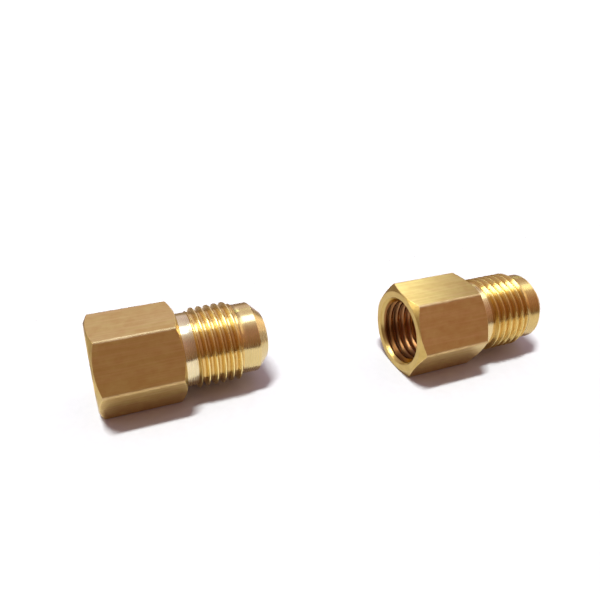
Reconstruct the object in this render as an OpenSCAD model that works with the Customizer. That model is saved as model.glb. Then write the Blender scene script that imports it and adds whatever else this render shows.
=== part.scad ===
// Two brass flare adapters, lying side by side on one flat each.
// Every adapter is one piece turned from hexagonal bar: an internal thread at the
// mouth, a hexagon for the spanner, a neck, an external thread, a plain pilot collar
// and a 45 degree flare nose, with a passage right through.
// Along an adapter, 0 is the mouth and the nose points to +X.

/* [Hexagon] */
// Width across the flats
hex_af = 14; // [13.5:0.5:17]
// Length of the hexagon
hex_len = 13.1; // [12.5:0.1:16]
// Angle of the turned chamfer at both ends, from the end face
hex_chamfer_deg = 30; // [15:1:40]
// How far inside the flats that chamfer starts
hex_chamfer_inset = 0.2; // [0.1:0.1:0.6]

/* [External thread] */
// Diameter over the crests
ext_major_d = 12.7; // [12.6:0.1:13]
// Distance from one crest to the next, the same on both threads
pitch = 1.27; // [1.2:0.01:1.4]
// Diameter of the neck between hexagon and thread
neck_d = 11.6; // [11.2:0.1:12]
// Length of the neck
neck_len = 1.95; // [1:0.05:3]
// Length of the threaded stretch, with the chamfers at its ends
ext_thread_len = 7.3; // [5:0.1:10]
// Length of the chamfer at each end of the thread
ext_chamfer_len = 0.35; // [0.2:0.05:0.6]

/* [Flare nose] */
// Diameter of the plain collar that pilots the nut
collar_d = 11.3; // [11:0.1:11.3]
// Length of the collar
collar_len = 2.7; // [1:0.1:4]
// Length of the cone that the flared tube seats on
cone_len = 1.8; // [1:0.1:2]
// Half angle of that cone
cone_half_deg = 45; // [43:1:46]

/* [Bores] */
// Diameter over the roots of the internal thread
int_major_d = 11.112; // [11:0.004:11.2]
// Diameter of the drilled hole, which is the crest of the internal thread
int_minor_d = 9.86; // [9.8:0.02:10]
// Depth to the last full turn of the internal thread
int_thread_depth = 9.5; // [6:0.1:10]
// Depth of the drilled hole before its conical seat
drill_depth = 11; // [10.5:0.1:11.5]
// Diameter of the countersink at the mouth
mouth_d = 11.7; // [11.5:0.1:12]
// Diameter of the passage through the nose
passage_d = 5.6; // [5:0.1:6]
// Break of the passage's edge at the nose
nose_edge_break = 0.2; // [0.1:0.05:0.3]

/* [Layout] */
// Step from the left adapter to the right one along X
pair_step_x = 48.8; // [35:0.1:80]
// Step from the left adapter to the right one across, towards the front
pair_step_y = 7; // [0:0.1:30]

/* [Hidden] */
$fn = 96;

brass = [0.80, 0.60, 0.28];

// A little extra on each cut, so that no two faces coincide
over = 1;

hex_r = hex_af / 2;
hex_corner_r = hex_r / cos(30);
hex_chamfer_r = hex_r - hex_chamfer_inset;

crest_r = ext_major_d / 2;
neck_r = neck_d / 2;
collar_r = collar_d / 2;
nose_r = collar_r - cone_len * tan(cone_half_deg);
thread_start = hex_len + neck_len;
thread_end = thread_start + ext_thread_len;
cone_start = thread_end + collar_len;
total_len = cone_start + cone_len;

bore_r = int_minor_d / 2;
root_r = int_major_d / 2;
mouth_r = mouth_d / 2;
mouth_depth = mouth_r - bore_r;
passage_r = passage_d / 2;
seat_end = drill_depth + bore_r - passage_r;

// Unified thread form, 60 degrees between the flanks: the share of the pitch that is
// flat at an external crest, at an internal crest, and the external depth, which leaves
// a flat of a quarter of the pitch at the root
flank_tan = tan(30);
ext_crest_flat = pitch / 8;
int_crest_flat = pitch / 4;
ext_depth = 0.5413 * pitch;
int_depth = root_r - bore_r;

pair_len = pair_step_x + total_len;
left_mouth = [-pair_len / 2, pair_step_y / 2, hex_r];
right_mouth = left_mouth + [pair_step_x, -pair_step_y, 0];

// The [radius, length] points of one V groove that starts at z on a wall of radius r.
// A positive depth cuts inwards, a negative one outwards.
function groove(r, z, crest_flat, depth) =
    let (open = pitch - crest_flat, slope = abs(depth) * flank_tan)
    [
        [r, z],
        [r - depth, z + slope],
        [r - depth, z + open - slope],
        [r, z + open],
    ];

// As many grooves as fit between two lengths, one pitch apart
function grooves(r, from, to, crest_flat, depth) =
    [
        for (turn = [1 : floor((to - from) / pitch)])
            each groove(r, from + crest_flat + (turn - 1) * pitch, crest_flat, depth)
    ];

// The hexagonal bar with both ends turned to a shallow cone
module hexagon() {
    reach = hex_corner_r + over;
    drop = (reach - hex_chamfer_r) * tan(hex_chamfer_deg);
    intersection() {
        rotate([0, 0, 30])
            cylinder(h = hex_len, r = hex_corner_r, $fn = 6);
        rotate_extrude()
            polygon([
                [0, 0],
                [hex_chamfer_r, 0],
                [reach, drop],
                [reach, hex_len - drop],
                [hex_chamfer_r, hex_len],
                [0, hex_len],
            ]);
    }
}

// Neck, external thread, pilot collar and flare nose in one turned profile
module turned_end() {
    rotate_extrude()
        polygon(concat(
            [
                [0, hex_len / 2],
                [neck_r, hex_len / 2],
                [neck_r, thread_start],
                [crest_r, thread_start + ext_chamfer_len],
            ],
            grooves(crest_r, thread_start + ext_chamfer_len, thread_end - ext_chamfer_len,
                ext_crest_flat, ext_depth),
            [
                [crest_r, thread_end - ext_chamfer_len],
                [collar_r, thread_end],
                [collar_r, cone_start],
                [nose_r, total_len],
                [0, total_len],
            ]
        ));
}

// Countersink, internal thread, drilled hole, conical seat and passage as one cutter
module bores() {
    rotate_extrude()
        polygon(concat(
            [
                [0, -over],
                [mouth_r + over, -over],
                [bore_r, mouth_depth],
            ],
            grooves(bore_r, mouth_depth, int_thread_depth, int_crest_flat, -int_depth),
            [
                [bore_r, drill_depth],
                [passage_r, seat_end],
                [passage_r, total_len - nose_edge_break],
                [passage_r + nose_edge_break + over, total_len + over],
                [0, total_len + over],
            ]
        ));
}

// One whole adapter, its mouth's centre at the given point and its nose towards +X
module fitting(mouth) {
    translate(mouth)
        rotate([0, 90, 0])
            difference() {
                union() {
                    hexagon();
                    turned_end();
                }
                bores();
            }
}

module left_fitting() {
    color(brass)
        fitting(left_mouth);
}

module right_fitting() {
    color(brass)
        fitting(right_mouth);
}

left_fitting();
right_fitting();
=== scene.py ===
import math

import bpy
import numpy as np
from mathutils import Matrix, Vector


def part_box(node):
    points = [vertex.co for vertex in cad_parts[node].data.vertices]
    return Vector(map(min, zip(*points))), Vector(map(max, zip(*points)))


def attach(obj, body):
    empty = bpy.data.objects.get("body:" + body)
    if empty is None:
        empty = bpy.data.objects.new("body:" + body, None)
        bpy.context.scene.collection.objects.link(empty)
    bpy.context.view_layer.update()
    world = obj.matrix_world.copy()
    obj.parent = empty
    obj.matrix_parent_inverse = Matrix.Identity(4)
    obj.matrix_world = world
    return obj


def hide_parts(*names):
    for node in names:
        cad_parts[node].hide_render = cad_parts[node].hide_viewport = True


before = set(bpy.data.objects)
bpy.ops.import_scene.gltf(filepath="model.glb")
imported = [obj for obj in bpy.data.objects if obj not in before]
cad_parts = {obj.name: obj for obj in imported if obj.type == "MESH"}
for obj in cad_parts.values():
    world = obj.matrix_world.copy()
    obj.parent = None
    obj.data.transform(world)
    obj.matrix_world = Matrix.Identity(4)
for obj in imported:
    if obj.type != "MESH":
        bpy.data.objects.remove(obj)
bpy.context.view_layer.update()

MM = 0.001
MM_PER_METRE = 1000
TURN = 2 * math.pi
DEG_30 = math.radians(30)
DEG_60 = math.radians(60)

# One fitting, in millimetres. Lengths run from the mouth to the nose.
HEX_APOTHEM = 7.0
HEX_CORNER = HEX_APOTHEM / math.cos(DEG_30)
HEX_LENGTH = 13.1
HEX_CHAMFER_SLOPE = math.tan(DEG_30)
HEX_CHAMFER_RADIUS = 6.8
NECK_RADIUS = 5.8
THREAD_START = 15.05
THREAD_END = 22.35
THREAD_CHAMFER = 0.35
CREST_RADIUS = 6.35
PITCH = 1.27
THREAD_DEPTH = 0.6875
CREST_FLAT = PITCH / 8
COLLAR_RADIUS = 5.65
CONE_START = 25.05
NOSE_RADIUS = 3.85
LENGTH = 26.85
NOSE_EDGE_BREAK = 0.2
MOUTH_RADIUS = 5.85
BORE_RADIUS = 4.93
BORE_THREAD_DEPTH = 0.626
BORE_CREST_FLAT = PITCH / 4
BORE_THREAD_START = 0.2
BORE_THREAD_END = 9.5
DRILL_DEPTH = 11.0
PASSAGE_RADIUS = 2.8
SEAT_END = DRILL_DEPTH + BORE_RADIUS - PASSAGE_RADIUS
FLANK = math.tan(DEG_30)

# Where the surface outside and the surface inside meet, on the end face and on the nose
RIM_RADIUS = (MOUTH_RADIUS + HEX_CHAMFER_RADIUS) / 2
TIP_RADIUS = (NOSE_RADIUS + PASSAGE_RADIUS + NOSE_EDGE_BREAK) / 2

# Rounded edges, in millimetres
HEX_EDGE_ROUND = 0.5
FACE_ROUND = 0.06
CHAMFER_ROUND = 0.08
NECK_ROUND = 0.15
COLLAR_ROUND = 0.12
MOUTH_ROUND = 0.04
DRILL_ROUND = 0.1
NOSE_ROUND = 0.04
CREST_ROUND = 0.05
ROOT_ROUND = 0.12
BORE_ROOT_ROUND = 0.08

# How the threads run out: a length in millimetres at the collar, and pitches in the bore
RUN_OUT = 0.3
BORE_FADE = 1.5

# How much of the long edges' rounding varies with wear, and over what length
WEAR = 0.35
WEAR_LENGTH = 7.0
WEAR_WAVES = 5

# The mesh's columns: how many lie on each flat and each long edge, and where the flat's
# ones start, in halves of the rounded edge
FLAT_COLUMNS = 22
EDGE_COLUMNS = 7
BESIDE_EDGE = 1.6

# Its rounded corners: the share of the shorter side that one may take, the arc's share of
# that, and how far beyond the arc the supporting rows lie, in millimetres
ARC_STEPS = 2
FILLET_ROWS = ARC_STEPS + 3
FILLET_SHARE = 0.45
ARC_SHARE = 0.8
SUPPORT = 0.05

# Its rows, in millimetres: the longest steps between them, how much of the hexagon the
# even rows leave out, and how near a thread's end a point joins the end's ring
FLAT_ROW = 0.5
THREAD_ROW = 0.2
NOSE_ROW = 1.0
HOLE_ROW = 2.0
FLAT_MARGIN = 2
SNAP = 0.01

# The material of each stretch of the surface, by its place in the mesh's slots
FLATS, EDGES, FACES, NECK, THREAD, NOSE, BORE = range(7)


# ------------------------------------------------------------------ shape

def column_angles():
    """The angles of the mesh's columns, from +Y towards +Z: dense on the six long edges."""
    centre = HEX_CORNER - HEX_EDGE_ROUND / math.cos(DEG_30)
    arc = [math.radians(60 * i / (EDGE_COLUMNS - 1) - 30) for i in range(EDGE_COLUMNS)]
    edge = []
    for a in arc:
        across = HEX_EDGE_ROUND * math.sin(a)
        edge.append(math.atan2(across, centre + HEX_EDGE_ROUND * math.cos(a)))
    beside = BESIDE_EDGE * edge[-1]
    flat = np.linspace(beside, DEG_60 - beside, FLAT_COLUMNS)
    one_side = np.concatenate([edge, flat])
    return np.concatenate([DEG_60 * side + one_side for side in range(6)])


def hexagon_radius(theta, edge_round):
    """How far the bar, with its long edges rounded, reaches from the axis at each angle."""
    centre = HEX_CORNER - edge_round / math.cos(DEG_30)
    off = (theta + DEG_30) % DEG_60 - DEG_30
    flat = HEX_APOTHEM / np.cos(DEG_30 - np.abs(off))
    across = centre * np.sin(off)
    edge = centre * np.cos(off) + np.sqrt(np.maximum(edge_round**2 - across**2, 0))
    tangent = np.arctan2(edge_round / 2, centre + edge_round * math.cos(DEG_30))
    return np.where(np.abs(off) < tangent, edge, flat)


def filleted(corners, radii):
    """Turns corners, each a length and a radius at every column, into rows with rounded corners.
    Each rounded corner becomes FILLET_ROWS rows: an arc with a supporting row on both sides."""
    columns = max(np.size(value) for corner in corners for value in corner)
    corners = [[np.broadcast_to(value, columns) for value in corner] for corner in corners]
    corners = [np.array(corner, float) for corner in corners]
    rows = [corners[0]]
    for before, corner, after, radius in zip(corners, corners[1:], corners[2:], radii):
        back = before - corner
        ahead = after - corner
        room = FILLET_SHARE * np.minimum(np.hypot(*back), np.hypot(*ahead))
        back = back / np.hypot(*back)
        ahead = ahead / np.hypot(*ahead)
        half = np.arccos(np.clip((back * ahead).sum(0), -1, 1)) / 2
        reach = np.minimum(radius / np.tan(half), ARC_SHARE * room)
        support = np.minimum(SUPPORT, room - reach)
        middle = corner + (back + ahead) * reach / (2 * np.cos(half) ** 2)
        start = corner + back * reach - middle
        end = corner + ahead * reach - middle
        sweep = math.pi - 2 * half
        rows.append(corner + back * (reach + support))
        for step in range(ARC_STEPS + 1):
            t = step / ARC_STEPS
            blend = np.sin((1 - t) * sweep) * start + np.sin(t * sweep) * end
            rows.append(middle + blend / np.sin(sweep))
        rows.append(corner + ahead * (reach + support))
    rows.append(corners[-1])
    return rows


def divided(rows, longest):
    """Adds even rows wherever two neighbours are further apart than the longest step."""
    out = [rows[0]]
    for before, after in zip(rows, rows[1:]):
        steps = max(1, math.ceil(float(np.hypot(*(after - before)).max()) / longest))
        out += [before + (after - before) * i / steps for i in range(1, steps + 1)]
    return out


def thread_turn(crest_flat, depth, crest_round, root_round):
    """One pitch of the 60 degree thread form, from the middle of one crest to the next:
    lengths along it and depths below the crest."""
    edge = crest_flat / 2
    slope = depth * FLANK
    corners = [
        (0, 0),
        (edge, 0),
        (edge + slope, depth),
        (PITCH - edge - slope, depth),
        (PITCH - edge, 0),
        (PITCH, 0),
    ]
    rounds = (crest_round, root_round, root_round, crest_round)
    rows = divided(filleted(corners, rounds), THREAD_ROW)
    return np.array(rows[:-1])[:, :, 0].T


def external_thread_radius(x, depth):
    """The external thread: a helical groove in a cylinder that is chamfered at both ends.
    Its floor meets the neck at one end and the collar at the other."""
    rise = (x - THREAD_START) / THREAD_CHAMFER
    fall = (THREAD_END - x) / THREAD_CHAMFER
    blank = NECK_RADIUS + rise * (CREST_RADIUS - NECK_RADIUS)
    blank = np.minimum(blank, COLLAR_RADIUS + fall * (CREST_RADIUS - COLLAR_RADIUS))
    blank = np.minimum(blank, CREST_RADIUS)
    root = CREST_RADIUS - THREAD_DEPTH
    from_neck = np.clip((x - THREAD_START) / PITCH, 0, 1)
    from_collar = np.clip((THREAD_END - x) / RUN_OUT, 0, 1)
    floor = NECK_RADIUS + (root - NECK_RADIUS) * from_neck
    floor = np.maximum(floor, COLLAR_RADIUS + (root - COLLAR_RADIUS) * from_collar)
    return np.maximum(np.minimum(CREST_RADIUS - depth, blank), np.minimum(floor, blank))


def internal_thread_radius(x, depth):
    """The internal thread: a helical groove in the drilled wall, fading at its inner end
    and cut by the countersink."""
    fade = np.clip((BORE_THREAD_END - x) / (BORE_FADE * PITCH), 0, 1)
    return np.maximum(BORE_RADIUS + depth * fade, MOUTH_RADIUS - x)


class Skin:
    """Gathers the rings and the faces of one closed surface around the fitting's axis."""

    def __init__(self, theta):
        self.theta = theta
        self.points = []
        self.faces = []
        self.kinds = []

    def ring(self, x, radius):
        """Adds one ring of points and returns their numbers."""
        x, radius = np.broadcast_arrays(x, radius, self.theta)[:2]
        first = len(self.points)
        self.points += list(zip(x, radius * np.cos(self.theta), radius * np.sin(self.theta)))
        return np.arange(first, first + len(self.theta))

    def face(self, corners, kind):
        """Adds a face. Corners that fell together make it a triangle, or nothing."""
        kept = [c for c, following in zip(corners, corners[1:] + corners[:1]) if c != following]
        if len(kept) > 2:
            self.faces.append(kept)
            self.kinds.append(kind)

    def bridge(self, ring, other, kind):
        """Joins two rings. The kind is one for all the faces, or one for each column."""
        count = len(self.theta)
        kinds = np.broadcast_to(kind, count).tolist()
        for j in range(count):
            k = (j + 1) % count
            self.face([ring[j], ring[k], other[k], other[j]], kinds[j])

    def along(self, ring, rows, kind):
        """Adds a ring for each row, joins them up from an existing ring and returns the last."""
        for x, radius in rows:
            following = self.ring(x, radius)
            self.bridge(ring, following, kind)
            ring = following
        return ring

    def helix(self, ring, start, end, turn, crest, radius_at, kind):
        """Adds a right-hand thread between two lengths and returns its last ring.
        Its crests lie at the given share of a pitch."""
        lengths, depths = turn
        per_turn = len(lengths)
        first = (math.floor(start / PITCH - crest) - 1 + crest) * PITCH
        last = self.ring(end, radius_at(end, 0.0))
        rows = (math.ceil((end - first) / PITCH) + 1) * per_turn + 1
        numbers = []
        for row in range(rows):
            whole, part = divmod(row, per_turn)
            x = first + whole * PITCH + lengths[part] + PITCH * self.theta / TURN
            radius = radius_at(x, depths[part])
            new = (x > start + SNAP) & (x < end - SNAP)
            row_numbers = np.where(x <= start + SNAP, ring, last)
            for j in np.flatnonzero(new):
                angle = self.theta[j]
                row_numbers[j] = len(self.points)
                self.points.append((x[j], radius[j] * math.cos(angle), radius[j] * math.sin(angle)))
            numbers.append(row_numbers)
        for row in range(rows - 1):
            here, there = numbers[row], numbers[row + 1]
            for j in range(len(self.theta) - 1):
                self.face([here[j], here[j + 1], there[j + 1], there[j]], kind)
            if row + per_turn + 1 < rows:
                after, beyond = numbers[row + per_turn][0], numbers[row + per_turn + 1][0]
                self.face([here[-1], after, beyond, there[-1]], kind)
        return last


def hexagon_kinds():
    """Which material each column of the hexagon has: the rounded long edges are worn."""
    return ([EDGES] * (EDGE_COLUMNS - 1) + [FLATS] * (FLAT_COLUMNS + 1)) * 6


def smooth_noise(rng, waves, longest):
    """A smooth random curve between about -1 and 1, as a function of a length."""
    parts = []
    for i in range(waves):
        size = rng.uniform(0.4, 1)
        wave = longest / (1 + i * rng.uniform(0.7, 1.3))
        parts.append((size, wave, rng.uniform(0, TURN)))
    total = sum(size for size, _, _ in parts)
    return lambda x: sum(size * math.sin(TURN * x / wave + phase) for size, wave, phase in parts) / total


def outside(skin, ring, crest, rng):
    """The end face, the hexagon, the neck, the external thread, the collar and the cone,
    up to the nose's flat."""
    theta = skin.theta
    kinds = hexagon_kinds()
    hexagon = hexagon_radius(theta, HEX_EDGE_ROUND)
    drop = (hexagon - HEX_CHAMFER_RADIUS) * HEX_CHAMFER_SLOPE
    middle = HEX_LENGTH / 2

    near_corners = [
        (0, RIM_RADIUS),
        (0, HEX_CHAMFER_RADIUS),
        (drop, hexagon),
        (middle, hexagon),
    ]
    near = filleted(near_corners, (FACE_ROUND, CHAMFER_ROUND))
    chamfer_end = len(near) - FILLET_ROWS
    ring = skin.along(ring, near[1:chamfer_end], FACES)
    ring = skin.along(ring, near[chamfer_end:-1], kinds)

    wear = smooth_noise(rng, WEAR_WAVES, WEAR_LENGTH)
    far_corners = [
        (middle, hexagon),
        (HEX_LENGTH - drop, hexagon),
        (HEX_LENGTH, HEX_CHAMFER_RADIUS),
        (HEX_LENGTH, NECK_RADIUS),
        (THREAD_START, NECK_RADIUS),
    ]
    far = filleted(far_corners, (CHAMFER_ROUND, FACE_ROUND, NECK_ROUND))
    first, final = near[-2], far[1]
    steps = round((HEX_LENGTH - FLAT_MARGIN) / FLAT_ROW)
    for step in range(1, steps):
        x = first[0] + (final[0] - first[0]) * step / steps
        share = math.sin(math.pi * step / steps)
        edge_round = HEX_EDGE_ROUND * (1 + WEAR * share * wear(float(x[0])))
        ring = skin.along(ring, [(x, hexagon_radius(theta, edge_round))], kinds)
    chamfer_start = FILLET_ROWS - 1
    neck_start = chamfer_start + 2 * (FILLET_ROWS - 1)
    ring = skin.along(ring, far[1:chamfer_start], kinds)
    ring = skin.along(ring, far[chamfer_start:neck_start], FACES)
    ring = skin.along(ring, far[neck_start:], NECK)

    turn = thread_turn(CREST_FLAT, THREAD_DEPTH, CREST_ROUND, ROOT_ROUND)
    ring = skin.helix(ring, THREAD_START, THREAD_END, turn, crest, external_thread_radius, THREAD)
    end_corners = [
        (THREAD_END, COLLAR_RADIUS),
        (CONE_START, COLLAR_RADIUS),
        (LENGTH, NOSE_RADIUS),
        (LENGTH, TIP_RADIUS),
    ]
    end = filleted(end_corners, (COLLAR_ROUND, COLLAR_ROUND))
    return skin.along(ring, divided(end, NOSE_ROW)[1:], NOSE)


def inside(skin, ring, crest):
    """The countersink, the internal thread, the drilled hole with its conical seat and the
    passage, up to the nose's flat."""
    mouth_corners = [
        (0, RIM_RADIUS),
        (0, MOUTH_RADIUS),
        (BORE_THREAD_START, MOUTH_RADIUS - BORE_THREAD_START),
    ]
    ring = skin.along(ring, filleted(mouth_corners, (MOUTH_ROUND,))[1:], FACES)

    turn = thread_turn(BORE_CREST_FLAT, BORE_THREAD_DEPTH, CREST_ROUND, BORE_ROOT_ROUND)
    ring = skin.helix(
        ring, BORE_THREAD_START, BORE_THREAD_END, turn, crest, internal_thread_radius, BORE
    )

    hole_corners = [
        (BORE_THREAD_END, BORE_RADIUS),
        (DRILL_DEPTH, BORE_RADIUS),
        (SEAT_END, PASSAGE_RADIUS),
        (LENGTH - NOSE_EDGE_BREAK, PASSAGE_RADIUS),
        (LENGTH, PASSAGE_RADIUS + NOSE_EDGE_BREAK),
        (LENGTH, TIP_RADIUS),
    ]
    hole = filleted(hole_corners, (DRILL_ROUND, DRILL_ROUND, NOSE_ROUND, NOSE_ROUND))
    rows = divided(hole, HOLE_ROW)[1:]
    drilled = sum(row[0][0] < DRILL_DEPTH for row in rows)
    ring = skin.along(ring, rows[:drilled], BORE)
    return skin.along(ring, rows[drilled:], NOSE)


def fitting(name, cad_node, external_crest, internal_crest, materials, seed):
    """One whole fitting as a closed mesh that stands for its CAD node and rides with it."""
    rng = np.random.default_rng(seed)
    skin = Skin(column_angles())
    rim = skin.ring(0, RIM_RADIUS)
    nose_outside = outside(skin, rim, external_crest, rng)
    half = len(skin.faces)
    nose_inside = inside(skin, rim, internal_crest)
    merged = dict(zip(nose_inside.tolist(), nose_outside.tolist()))
    faces = [[merged.get(c, c) for c in face] for face in skin.faces]
    faces = faces[:half] + [face[::-1] for face in faces[half:]]
    used = sorted(set(c for face in faces for c in face))
    renumbered = {old: new for new, old in enumerate(used)}
    mesh = bpy.data.meshes.new(name)
    points = np.array(skin.points)[used] * MM
    mesh.from_pydata(points.tolist(), [], [[renumbered[c] for c in face] for face in faces])
    mesh.validate()
    for material in materials:
        mesh.materials.append(material)
    mesh.polygons.foreach_set("material_index", skin.kinds)
    mesh.polygons.foreach_set("use_smooth", [True] * len(faces))
    piece = bpy.data.objects.new(name, mesh)
    bpy.context.scene.collection.objects.link(piece)
    low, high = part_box(cad_node)
    piece.location = (low.x, (low.y + high.y) / 2, (low.z + high.z) / 2)
    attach(piece, cad_node)
    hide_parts(cad_node)


# -------------------------------------------------------------- materials

# A mix node's colour sockets, by their places
MIX_FIRST, MIX_SECOND, MIX_RESULT = 6, 7, 2

# How far apart two pieces may lie in the fourth dimension of a noise
PIECE_OFFSET = 50
NOISE_ROUGHNESS = 0.55

# A quarter turn of the gloss's direction
QUARTER = 0.25

EVEN = (1, 1, 1)
ALONG_BAR = (0.03, 1, 1)


def link(tree, source, target):
    """Joins two sockets."""
    tree.links.new(source, target)


def node(tree, kind, **settings):
    """Adds a shader node and sets its properties."""
    made = tree.nodes.new(kind)
    for key, value in settings.items():
        setattr(made, key, value)
    return made


def arithmetic(tree, operation, first, second):
    """One step of arithmetic between a socket and a socket or number."""
    made = node(tree, "ShaderNodeMath", operation=operation)
    link(tree, first, made.inputs[0])
    if isinstance(second, (int, float)):
        made.inputs[1].default_value = second
    else:
        link(tree, second, made.inputs[1])
    return made.outputs["Value"]


def split(tree, vector):
    """A vector's X, Y and Z."""
    separate = node(tree, "ShaderNodeSeparateXYZ")
    link(tree, vector, separate.inputs["Vector"])
    return separate.outputs["X"], separate.outputs["Y"], separate.outputs["Z"]


def principled(name):
    """A new material, its tree, its principled shader and its object coordinates."""
    material = bpy.data.materials.new(name)
    material.use_nodes = True
    tree = material.node_tree
    place = node(tree, "ShaderNodeTexCoord").outputs["Object"]
    return material, tree, tree.nodes["Principled BSDF"], place


def brass(name):
    """A new metal material, its tree, its principled shader and its object coordinates."""
    material, tree, shader, place = principled(name)
    shader.inputs["Metallic"].default_value = 1.0
    return material, tree, shader, place


def noise(tree, place, stretch, scale, detail):
    """Fractal noise over a place in metres, with so many features per millimetre along an
    axis whose stretch is 1. It is different on each piece."""
    mapping = node(tree, "ShaderNodeMapping")
    mapping.inputs["Scale"].default_value = [MM_PER_METRE * s for s in stretch]
    link(tree, place, mapping.inputs["Vector"])
    made = node(tree, "ShaderNodeTexNoise", noise_dimensions="4D")
    piece = node(tree, "ShaderNodeObjectInfo").outputs["Random"]
    link(tree, arithmetic(tree, "MULTIPLY", piece, PIECE_OFFSET), made.inputs["W"])
    made.inputs["Scale"].default_value = scale
    made.inputs["Detail"].default_value = detail
    made.inputs["Roughness"].default_value = NOISE_ROUGHNESS
    link(tree, mapping.outputs["Vector"], made.inputs["Vector"])
    return made.outputs["Fac"]


def ramp(tree, value, stops):
    """A colour ramp over (position, colour) stops."""
    made = node(tree, "ShaderNodeValToRGB")
    elements = made.color_ramp.elements
    while len(elements) < len(stops):
        elements.new(0.5)
    for element, (position, colour) in zip(elements, stops):
        element.position = position
        element.color = (*colour, 1)
    link(tree, value, made.inputs["Fac"])
    return made.outputs["Color"]


def spread(tree, value, low, high, start=0.3, end=0.7):
    """Maps the stretch of a value from start to end onto a range. The default stretch is
    where most of a noise lies."""
    made = node(tree, "ShaderNodeMapRange")
    made.inputs["From Min"].default_value = start
    made.inputs["From Max"].default_value = end
    made.inputs["To Min"].default_value = low
    made.inputs["To Max"].default_value = high
    link(tree, value, made.inputs["Value"])
    return made.outputs["Result"]


def bump(tree, shader, height, depth):
    """Bumps a surface by a height, with a depth in millimetres."""
    made = node(tree, "ShaderNodeBump")
    made.inputs["Strength"].default_value = 1.0
    made.inputs["Distance"].default_value = depth * MM
    link(tree, height, made.inputs["Height"])
    link(tree, made.outputs["Normal"], shader.inputs["Normal"])


def grain(tree, shader, amount, along_axis):
    """Stretches the gloss along the fitting's axis, as rings cut on the lathe do, or around
    it, as drawing lines do."""
    around = node(tree, "ShaderNodeTangent", direction_type="RADIAL", axis="X")
    link(tree, around.outputs["Tangent"], shader.inputs["Tangent"])
    shader.inputs["Anisotropic"].default_value = amount
    shader.inputs["Anisotropic Rotation"].default_value = QUARTER if along_axis else 0.0


def mixed(tree, fac, first, second):
    """The first colour where the factor is 0 and the second where it is 1."""
    made = node(tree, "ShaderNodeMix", data_type="RGBA")
    link(tree, fac, made.inputs["Factor"])
    for place, colour in ((MIX_FIRST, first), (MIX_SECOND, second)):
        if isinstance(colour, tuple):
            made.inputs[place].default_value = (*colour, 1)
        else:
            link(tree, colour, made.inputs[place])
    return made.outputs[MIX_RESULT]


def drawn_flats(name, light, dark, streak):
    """The bar's drawn flats: satin, with fine lines and paler, glossier streaks along the bar
    and faint mottling."""
    material, tree, shader, place = brass(name)
    lines = noise(tree, place, ALONG_BAR, scale=3.0, detail=3)
    streaks = noise(tree, place, ALONG_BAR, scale=2.4, detail=2)
    mottle = noise(tree, place, (0.7, 1, 1), scale=0.9, detail=5)
    ground = ramp(tree, mottle, [(0.35, dark), (0.65, light)])
    paler = spread(tree, streaks, low=0.0, high=0.4, start=0.45, end=0.68)
    link(tree, mixed(tree, paler, ground, streak), shader.inputs["Base Color"])
    link(tree, spread(tree, streaks, low=0.35, high=0.29), shader.inputs["Roughness"])
    grain(tree, shader, 0.4, along_axis=False)
    bump(tree, shader, lines, depth=0.0025)
    return material


def worn_edges(name, bright, dull):
    """The bar's long edges, rubbed and dented a little: rougher than the flats, and patchy."""
    material, tree, shader, place = brass(name)
    rub = noise(tree, place, (0.5, 1, 1), scale=1.1, detail=4)
    dents = noise(tree, place, EVEN, scale=2.5, detail=2)
    link(tree, ramp(tree, rub, [(0.38, dull), (0.62, bright)]), shader.inputs["Base Color"])
    link(tree, spread(tree, rub, low=0.48, high=0.62), shader.inputs["Roughness"])
    bump(tree, shader, dents, depth=0.02)
    return material


def axis_place(tree, place):
    """The length along the axis and the distance from it, as a vector and apart.
    A pattern on the vector makes rings."""
    x, y, z = split(tree, place)
    flat = node(tree, "ShaderNodeCombineXYZ")
    link(tree, y, flat.inputs["Y"])
    link(tree, z, flat.inputs["Z"])
    length = node(tree, "ShaderNodeVectorMath", operation="LENGTH")
    link(tree, flat.outputs["Vector"], length.inputs[0])
    radius = length.outputs["Value"]
    rings = node(tree, "ShaderNodeCombineXYZ")
    link(tree, x, rings.inputs["X"])
    link(tree, radius, rings.inputs["Y"])
    return rings.outputs["Vector"], x, radius


def turned(name, light, dark, rough, ring_scale, ring_depth, stretch=0.9, root=None):
    """A surface cut on the lathe: bright, with fine rings around the axis. The external
    thread's roots are painted darker than its crests, as painted shade in the grooves."""
    material, tree, shader, place = brass(name)
    rings, _, radius = axis_place(tree, place)
    grooves = noise(tree, rings, EVEN, scale=ring_scale, detail=3)
    mottle = noise(tree, place, EVEN, scale=0.7, detail=4)
    colour = ramp(tree, mottle, [(0.3, dark), (0.7, light)])
    # Painted shade: the colour darkens from the crests down to the external thread's roots.
    if root:
        lowest = (CREST_RADIUS - THREAD_DEPTH) * MM
        height = spread(tree, radius, 0.0, 1.0, start=lowest, end=CREST_RADIUS * MM)
        colour = mixed(tree, height, root, colour)
    link(tree, colour, shader.inputs["Base Color"])
    roughness = spread(tree, grooves, low=rough * 0.9, high=rough * 1.1)
    link(tree, roughness, shader.inputs["Roughness"])
    grain(tree, shader, stretch, along_axis=True)
    bump(tree, shader, grooves, ring_depth)
    return material


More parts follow.
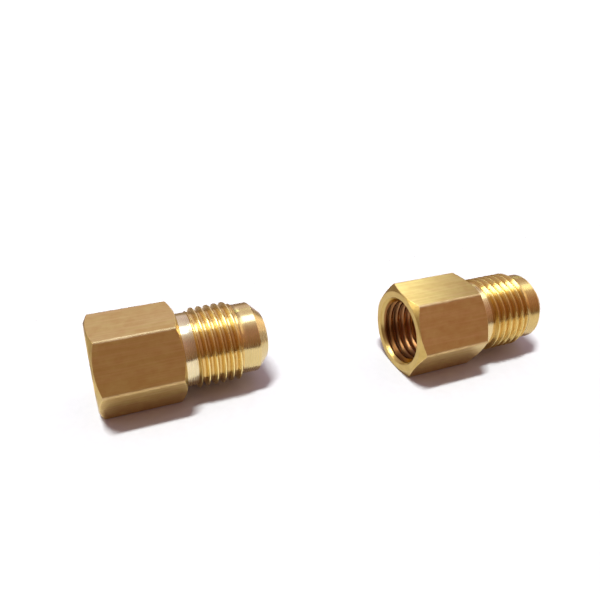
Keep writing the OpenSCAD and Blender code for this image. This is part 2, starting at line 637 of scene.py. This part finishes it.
def shaded_bore(name, cut, crest, root, dull):
    """The countersink and the walls behind it: the cone's outer part is cut clean; the crests
    and roots are painted a dark brown each, as painted shade inside the bore, and the first millimetres
    behind the mouth are painted darkest, as painted shade."""
    material, tree, shader, place = brass(name)
    rings, x, radius = axis_place(tree, place)
    crest_end = (BORE_RADIUS + 0.03) * MM
    root_start = (BORE_RADIUS + 0.25) * MM
    depth = spread(tree, radius, 0.0, 1.0, start=crest_end, end=root_start)
    # Painted shade: the walls' crests and roots get dark browns.
    shaded_wall = mixed(tree, depth, crest, root)
    # Painted shade: the walls are painted darkest in the first millimetres behind the mouth.
    mouth_shade = spread(tree, x, 1.0, 0.0, start=1.2 * MM, end=4.0 * MM)
    shaded_wall = mixed(tree, mouth_shade, shaded_wall, dull)
    cone_sum = arithmetic(tree, "ADD", x, radius)
    on_cone = (MOUTH_RADIUS + 0.01) * MM
    off_cone = (MOUTH_RADIUS + 0.05) * MM
    cone = spread(tree, cone_sum, 1.0, 0.0, start=on_cone, end=off_cone)
    clean_start = (BORE_RADIUS + 0.4) * MM
    clean_end = (BORE_RADIUS + 0.55) * MM
    outer = spread(tree, radius, 0.0, 1.0, start=clean_start, end=clean_end)
    clean = arithmetic(tree, "MULTIPLY", cone, outer)
    link(tree, mixed(tree, clean, shaded_wall, cut), shader.inputs["Base Color"])
    chatter = noise(tree, rings, EVEN, scale=6.0, detail=3)
    link(tree, spread(tree, chatter, low=0.28, high=0.36), shader.inputs["Roughness"])
    # Painted shade: a brown tint that dims the bore's gloss at grazing angles.
    shader.inputs["Specular Tint"].default_value = (0.55, 0.32, 0.16, 1)
    grain(tree, shader, 0.7, along_axis=True)
    bump(tree, shader, chatter, depth=0.002)
    return material


def brass_finishes(side, tone):
    """One fitting's materials, in the order of the mesh's slots. The tone multiplies the
    colours of the neck, the external thread, the collar, the cone and the passage."""
    def toned(*colour):
        return tuple(value * share for value, share in zip(colour, tone))

    drawn = ((0.69, 0.51, 0.178), (0.63, 0.41, 0.135), (0.82, 0.59, 0.275))
    worn = ((0.70, 0.52, 0.25), (0.54, 0.37, 0.15))
    faced = ((0.60, 0.43, 0.14), (0.50, 0.34, 0.10))
    neck = (toned(0.88, 0.76, 0.48), toned(0.82, 0.70, 0.42))
    thread = (toned(0.90, 0.74, 0.33), toned(0.82, 0.63, 0.25))
    # Painted shade for the external thread's roots
    root = toned(0.72, 0.50, 0.18)
    nose = (toned(0.72, 0.56, 0.25), toned(0.65, 0.50, 0.21))
    # The bore: its clean-cut colour, then painted shade for its crests, its roots and the walls near the
    # mouth
    bore = ((0.58, 0.42, 0.15), (0.55, 0.28, 0.12), (0.66, 0.34, 0.14), (0.26, 0.12, 0.04))
    fine = {"rough": 0.27, "ring_depth": 0.001}
    coarse = {"rough": 0.36, "ring_depth": 0.004}
    return [
        drawn_flats(f"{side}_drawn_brass", *drawn),
        worn_edges(f"{side}_worn_brass", *worn),
        turned(f"{side}_faced_brass", *faced, ring_scale=6.0, stretch=0.5, **coarse),
        turned(f"{side}_neck_brass", *neck, ring_scale=5.0, **fine),
        turned(f"{side}_thread_brass", *thread, ring_scale=7.0, root=root, **fine),
        turned(f"{side}_nose_brass", *nose, ring_scale=5.0, **fine),
        shaded_bore(f"{side}_shaded_bore_brass", *bore),
    ]


def table_material():
    """White paper: matt, with a very faint tooth."""
    material, tree, shader, place = principled("white_table")
    shader.inputs["Roughness"].default_value = 0.7
    shader.inputs["Specular IOR Level"].default_value = 0
    tooth = noise(tree, place, EVEN, scale=0.8, detail=3)
    paper = [(0.3, (0.49, 0.465, 0.505)), (0.7, (0.51, 0.485, 0.525))]
    link(tree, ramp(tree, tooth, paper), shader.inputs["Base Color"])
    return material


# ------------------------------------------------------------------ stage

def table():
    """A plain white sheet under the pair."""
    left, right, front, back = -0.14, 0.16, -0.085, 0.032
    corners = [(left, front, 0), (right, front, 0), (right, back, 0), (left, back, 0)]
    mesh = bpy.data.meshes.new("white_table")
    mesh.from_pydata(corners, [], [(0, 1, 2, 3)])
    mesh.materials.append(table_material())
    floor = bpy.data.objects.new("white_table", mesh)
    bpy.context.scene.collection.objects.link(floor)


def softbox(name, place, aim, size, power, colour, matt_only=False):
    """A rectangular area light at a place, facing a point, all in metres.
    It shows in gloss only, unless it lights matt surfaces only."""
    data = bpy.data.lights.new(name, "AREA")
    data.shape = "RECTANGLE"
    data.size, data.size_y = size
    data.energy = power
    data.color = colour
    light = bpy.data.objects.new(name, data)
    light.location = place
    light.rotation_euler = (Vector(aim) - Vector(place)).to_track_quat("-Z", "Y").to_euler()
    light.visible_glossy = not matt_only
    light.visible_diffuse = matt_only
    bpy.context.scene.collection.objects.link(light)


def lights():
    """One light for the table and its shadows, and six that the metal reflects."""
    centre = (0, 0, 0)
    shadow_light = (-0.42, -0.07, 2.5)
    softbox("overhead", shadow_light, centre, (0.2, 0.7), 109.0, (0.90, 1, 0.93), matt_only=True)
    softbox("panel", (0.05, 0.10, 0.9), (0.05, 0.10, 0), (0.7, 0.36), 3.7, (0.4, 0.6, 1))
    softbox("panel_rim", (0.05, 0.10, 0.91), (0.05, 0.10, 0), (0.8, 0.56), 0.62, (0.7, 0.8, 1))
    softbox("right_panel", (0.7, 0.10, 0.9), (0.7, 0.10, 0), (0.5, 0.36), 0.9, (0.75, 1, 0.8))
    softbox("right_card", (0.83, 0.51, 0.12), centre, (0.3, 0.3), 0.25, (1, 0.9, 0.7))
    softbox("window", (0.437, 0.688, 0.447), centre, (0.14, 0.25), 0.26, (0.7, 1, 0.6))
    softbox("side", (-0.75, 0.31, 0.58), centre, (0.32, 0.32), 5.0, (1, 1, 0.9))


def room_colour(tree):
    """The colour of the room in each direction. It goes by the angle from the front horizon,
    up and over to the back one: warm and dim in front, brighter behind. It is tinted from
    left to right, and the floor beyond the table has colours of its own."""
    direction = node(tree, "ShaderNodeTexCoord").outputs["Generated"]
    x, y, z = split(tree, direction)
    front = arithmetic(tree, "MULTIPLY", y, -1)
    angle = arithmetic(tree, "ARCTAN2", z, front)
    share = arithmetic(tree, "DIVIDE", angle, math.pi)
    degrees = [
        (0, (0.14, 0.08, 0.06)),
        (6, (0.27, 0.16, 0.10)),
        (25, (0.33, 0.20, 0.15)),
        (35, (0.39, 0.24, 0.20)),
        (55, (0.42, 0.27, 0.26)),
        (66, (0.52, 0.40, 0.38)),
        (78, (0.70, 0.60, 0.62)),
        (115, (0.90, 0.85, 0.95)),
        (126, (0.84, 0.75, 0.88)),
        (136, (0.72, 0.62, 0.74)),
        (146, (0.72, 0.61, 0.74)),
        (156, (0.80, 0.70, 0.84)),
        (165, (0.74, 0.64, 0.74)),
        (172, (0.42, 0.31, 0.21)),
        (180, (0.24, 0.17, 0.09)),
    ]
    walls = ramp(tree, share, [(angle / 180, colour) for angle, colour in degrees])
    front_floor = (0.14, 0.08, 0.06)
    back_floor = (0.38, 0.29, 0.24)
    behind = spread(tree, y, 0.0, 1.0, start=0.0, end=0.3)
    floor = mixed(tree, behind, front_floor, back_floor)
    above = spread(tree, z, 0.0, 1.0, start=-0.01, end=0.0)
    colours = mixed(tree, above, floor, walls)

    # The tints from left (-1) to right (1): in front, and behind
    across = [
        (-1.0, (0.6, 0.55, 0.55), (0.6, 0.55, 0.55)),
        (-0.1, (1.0, 1.0, 1.0), (1.0, 1.0, 1.0)),
        (0.15, (0.94, 0.92, 0.88), (0.95, 0.93, 0.90)),
        (0.3, (1.03, 1.02, 1.02), (1.03, 1.02, 1.02)),
        (0.42, (1.4, 1.35, 1.6), (1.7, 1.8, 2.0)),
        (0.48, (1.45, 1.35, 1.8), (2.0, 2.1, 2.3)),
        (0.53, (1.4, 1.3, 1.8), (0.9, 0.85, 0.9)),
        (0.58, (1.2, 1.1, 1.4), (0.3, 0.22, 0.1)),
        (0.66, (0.9, 0.85, 0.7), (0.3, 0.22, 0.1)),
        (0.76, (1.1, 1.0, 0.8), (1.1, 1.0, 0.8)),
        (0.86, (2.2, 2.0, 1.6), (2.2, 2.0, 1.6)),
    ]
    side = spread(tree, x, 0.0, 1.0, start=-1, end=1)
    front_tints = ramp(tree, side, [((at + 1) / 2, tint) for at, tint, _ in across])
    back_tints = ramp(tree, side, [((at + 1) / 2, tint) for at, _, tint in across])
    past_top = spread(tree, share, 0.0, 1.0, start=0.5, end=0.7)
    tinted = node(tree, "ShaderNodeVectorMath", operation="MULTIPLY")
    link(tree, colours, tinted.inputs[0])
    link(tree, mixed(tree, past_top, front_tints, back_tints), tinted.inputs[1])
    return tinted.outputs["Vector"]


def room():
    """The room that the metal reflects. The camera itself sees plain white."""
    world = bpy.data.worlds.new("room")
    world.use_nodes = True
    bpy.context.scene.world = world
    tree = world.node_tree
    seen_in_metal = tree.nodes["Background"]
    link(tree, room_colour(tree), seen_in_metal.inputs["Color"])
    white = node(tree, "ShaderNodeBackground")
    white.inputs["Color"].default_value = (1, 1, 1, 1)
    white.inputs["Strength"].default_value = 1.1
    path = node(tree, "ShaderNodeLightPath")
    mix = node(tree, "ShaderNodeMixShader")
    link(tree, path.outputs["Is Camera Ray"], mix.inputs["Fac"])
    link(tree, seen_in_metal.outputs["Background"], mix.inputs[1])
    link(tree, white.outputs["Background"], mix.inputs[2])
    link(tree, mix.outputs["Shader"], tree.nodes["World Output"].inputs["Surface"])


def camera():
    """A camera a hand's width above the table, in front of the pair and to its left."""
    place = (-0.0391, -0.0762, 0.0635)
    azimuth = math.radians(23.72)
    elevation = math.radians(-30.53)
    roll = math.radians(2.12)
    level = Vector((math.sin(azimuth), math.cos(azimuth), 0))
    forward = level * math.cos(elevation) + Vector((0, 0, math.sin(elevation)))
    right = forward.cross(Vector((0, 0, 1))).normalized()
    up = right.cross(forward)
    turned_right = right * math.cos(roll) + up * math.sin(roll)
    turned_up = -right * math.sin(roll) + up * math.cos(roll)
    data = bpy.data.cameras.new("camera")
    data.lens = 36.92
    data.sensor_width = 36
    data.clip_start = 0.002
    data.clip_end = 20
    eye = bpy.data.objects.new("camera", data)
    axes = Matrix((turned_right, turned_up, -forward)).transposed().to_4x4()
    eye.matrix_world = Matrix.Translation(Vector(place)) @ axes
    bpy.context.scene.collection.objects.link(eye)
    bpy.context.scene.camera = eye


# Where each fitting's crests lie, in pitches, the seed of its wear, and the tone of its
# surfaces cut on the lathe
LEFT = {"external_crest": -0.45, "internal_crest": 0.3, "seed": 11}
RIGHT = {"external_crest": 0.09, "internal_crest": 0.38, "seed": 29}
LEFT_TONE = (1, 1, 1)
RIGHT_TONE = (0.90, 0.83, 0.68)

camera()
room()
table()
left_brass = brass_finishes("left", LEFT_TONE)
right_brass = brass_finishes("right", RIGHT_TONE)
fitting("left_adapter", "left_fitting", materials=left_brass, **LEFT)
fitting("right_adapter", "right_fitting", materials=right_brass, **RIGHT)
lights()
bpy.context.scene.view_settings.view_transform = "Standard"
